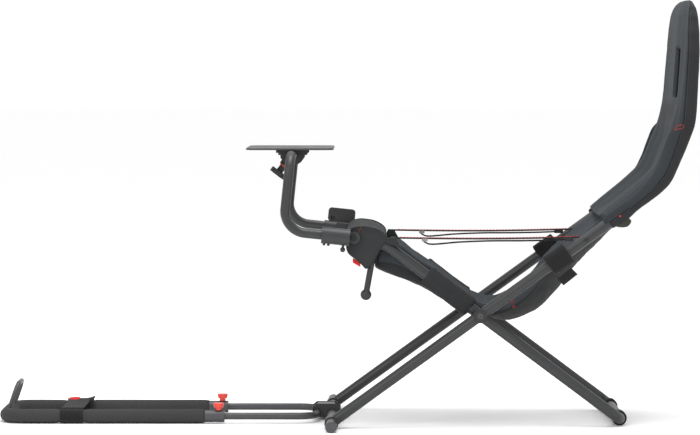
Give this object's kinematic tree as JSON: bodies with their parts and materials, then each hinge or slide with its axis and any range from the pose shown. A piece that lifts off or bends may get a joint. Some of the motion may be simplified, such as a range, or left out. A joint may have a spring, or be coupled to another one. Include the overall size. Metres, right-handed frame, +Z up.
{
  "type": "racing simulator cockpit",
  "caption": "Folding racing cockpit: a sling seat on crossed tube frames, with a tilting wheel deck on arms and a sliding foam-padded pedal frame.",
  "frame": {"origin": "on the floor, at the middle of the bounding box's bottom", "axes": "+X towards the seat back, -X towards the pedals, +Z up, -Y the sitter's left"},
  "size_m": [1.6086, 0.58, 0.98],
  "materials": {
    "frame_paint": "satin powder coat",
    "zinc_steel": "dull zinc plate",
    "seat_fabric": "brushed suede-like fabric",
    "webbing": "woven webbing",
    "foam_grip": "closed-cell foam",
    "rubber": "matte",
    "red_plastic": "moulded",
    "black_plastic": "moulded",
    "red_fabric": "woven tape"
  },
  "bodies": {
    "seat_frame": {"seat_rail_left": "frame_paint", "seat_rail_right": "frame_paint", "head_hoop": "frame_paint", "front_floor_tube": "frame_paint", "floor_tube_caps": "zinc_steel", "rail_foot_clamps": "frame_paint", "pivot_bolts": "black_plastic", "pivot_washers": "zinc_steel", "strap_bolts": "zinc_steel", "strap_buckles": "zinc_steel", "side_bolster_left": "seat_fabric", "side_bolster_right": "seat_fabric", "seat_back_pad": "seat_fabric", "head_rest": "seat_fabric", "rear_cover": "seat_fabric", "rail_cuffs": "seat_fabric", "cover_flaps": "seat_fabric", "flap_snaps": "red_plastic"},
    "wheel_frame": {"wheel_rail_left": "frame_paint", "wheel_rail_right": "frame_paint", "rear_floor_bar": "frame_paint", "foot_rings": "rubber", "front_crossbar": "frame_paint", "crossbar_plugs": "zinc_steel", "arm_hinge_bolts": "zinc_steel", "front_roll": "seat_fabric", "thigh_pad": "seat_fabric", "rail_loops": "seat_fabric", "strap_hooks": "zinc_steel", "strap_sliders": "zinc_steel", "pull_tab": "red_fabric", "seat_sling": "seat_fabric", "strap_left": "webbing", "strap_right": "webbing"},
    "arm_carrier": {"arm_sleeve_left": "black_plastic", "arm_sleeve_right": "frame_paint", "sleeve_bush": "black_plastic", "sleeve_screws": "zinc_steel", "tilt_lock_plate": "black_plastic"},
    "wheel_arms": {"arm_left": "frame_paint", "arm_right": "frame_paint", "arm_crossbar": "frame_paint"},
    "wheel_deck": {"deck_plate": "frame_paint", "tilt_clamp": "black_plastic", "knob_washer": "red_plastic"},
    "tilt_knob": {"tilt_knob": "black_plastic"},
    "lock_lever": {"lock_lever": "black_plastic"},
    "pull_pin": {"pull_pin": "black_plastic"},
    "pedal_link": {"pedal_rods": "zinc_steel", "pedal_rod_bend": "zinc_steel", "floor_hook": "frame_paint"},
    "pedal_frame": {"foam_left": "foam_grip", "foam_right": "foam_grip", "foam_front": "foam_grip", "pedal_tubes": "zinc_steel", "pedal_tube_front": "zinc_steel", "pedal_stop_loop": "zinc_steel", "pedal_strap": "webbing"},
    "clamp_knob_left": {"clamp_knob_left": "red_plastic"},
    "clamp_knob_right": {"clamp_knob_right": "red_plastic"}
  },
  "joints": [
    {"name": "frame_fold", "type": "hinge", "parent": "seat_frame", "child": "wheel_frame", "pos_m": [0.3076, 0, 0.2581], "axis": [0, 1, 0], "range_deg": [0, 75], "deforming": ["seat_sling", "strap_left", "strap_right"]},
    {"name": "wheel_arm_tilt", "type": "hinge", "parent": "wheel_frame", "child": "arm_carrier", "pos_m": [0.01989, 0, 0.43503], "axis": [0, 1, 0], "range_deg": [-60, 10]},
    {"name": "wheel_arm_slide", "type": "slide", "parent": "arm_carrier", "child": "wheel_arms", "axis": [-0.9945, 0, 0.1045], "range_m": [0, 0.035]},
    {"name": "deck_tilt", "type": "hinge", "parent": "wheel_arms", "child": "wheel_deck", "pos_m": [-0.1234, 0, 0.62153], "axis": [0, 1, 0], "range_deg": [-25, 25]},
    {"name": "tilt_knob_turn", "type": "hinge", "parent": "wheel_deck", "child": "tilt_knob", "pos_m": [-0.1234, 0, 0.62153], "axis": [-0.6037, 0, -0.7972], "continuous": true},
    {"name": "lock_lever_swing", "type": "hinge", "parent": "wheel_frame", "child": "lock_lever", "pos_m": [0.064, -0.169, 0.397], "axis": [0, 1, 0], "range_deg": [-45, 20]},
    {"name": "pull_pin_slide", "type": "slide", "parent": "arm_carrier", "child": "pull_pin", "axis": [-0.1045, 0, -0.9945], "range_m": [0, 0.005], "stiffness_N_per_m": 300, "springref_m": -0.004},
    {"name": "pedal_fold", "type": "hinge", "parent": "seat_frame", "child": "pedal_link", "pos_m": [-0.031, 0, 0.013], "axis": [0, 1, 0], "range_deg": [0, 62]},
    {"name": "pedal_slide", "type": "slide", "parent": "pedal_link", "child": "pedal_frame", "axis": [-1, 0, 0], "range_m": [-0.1, 0.07]},
    {"name": "clamp_knob_left_turn", "type": "hinge", "parent": "pedal_frame", "child": "clamp_knob_left", "pos_m": [-0.293, -0.099, 0.04], "axis": [0, 0, 1], "continuous": true},
    {"name": "clamp_knob_right_turn", "type": "hinge", "parent": "pedal_frame", "child": "clamp_knob_right", "pos_m": [-0.293, 0.099, 0.04], "axis": [0, 0, 1], "continuous": true}
  ]
}
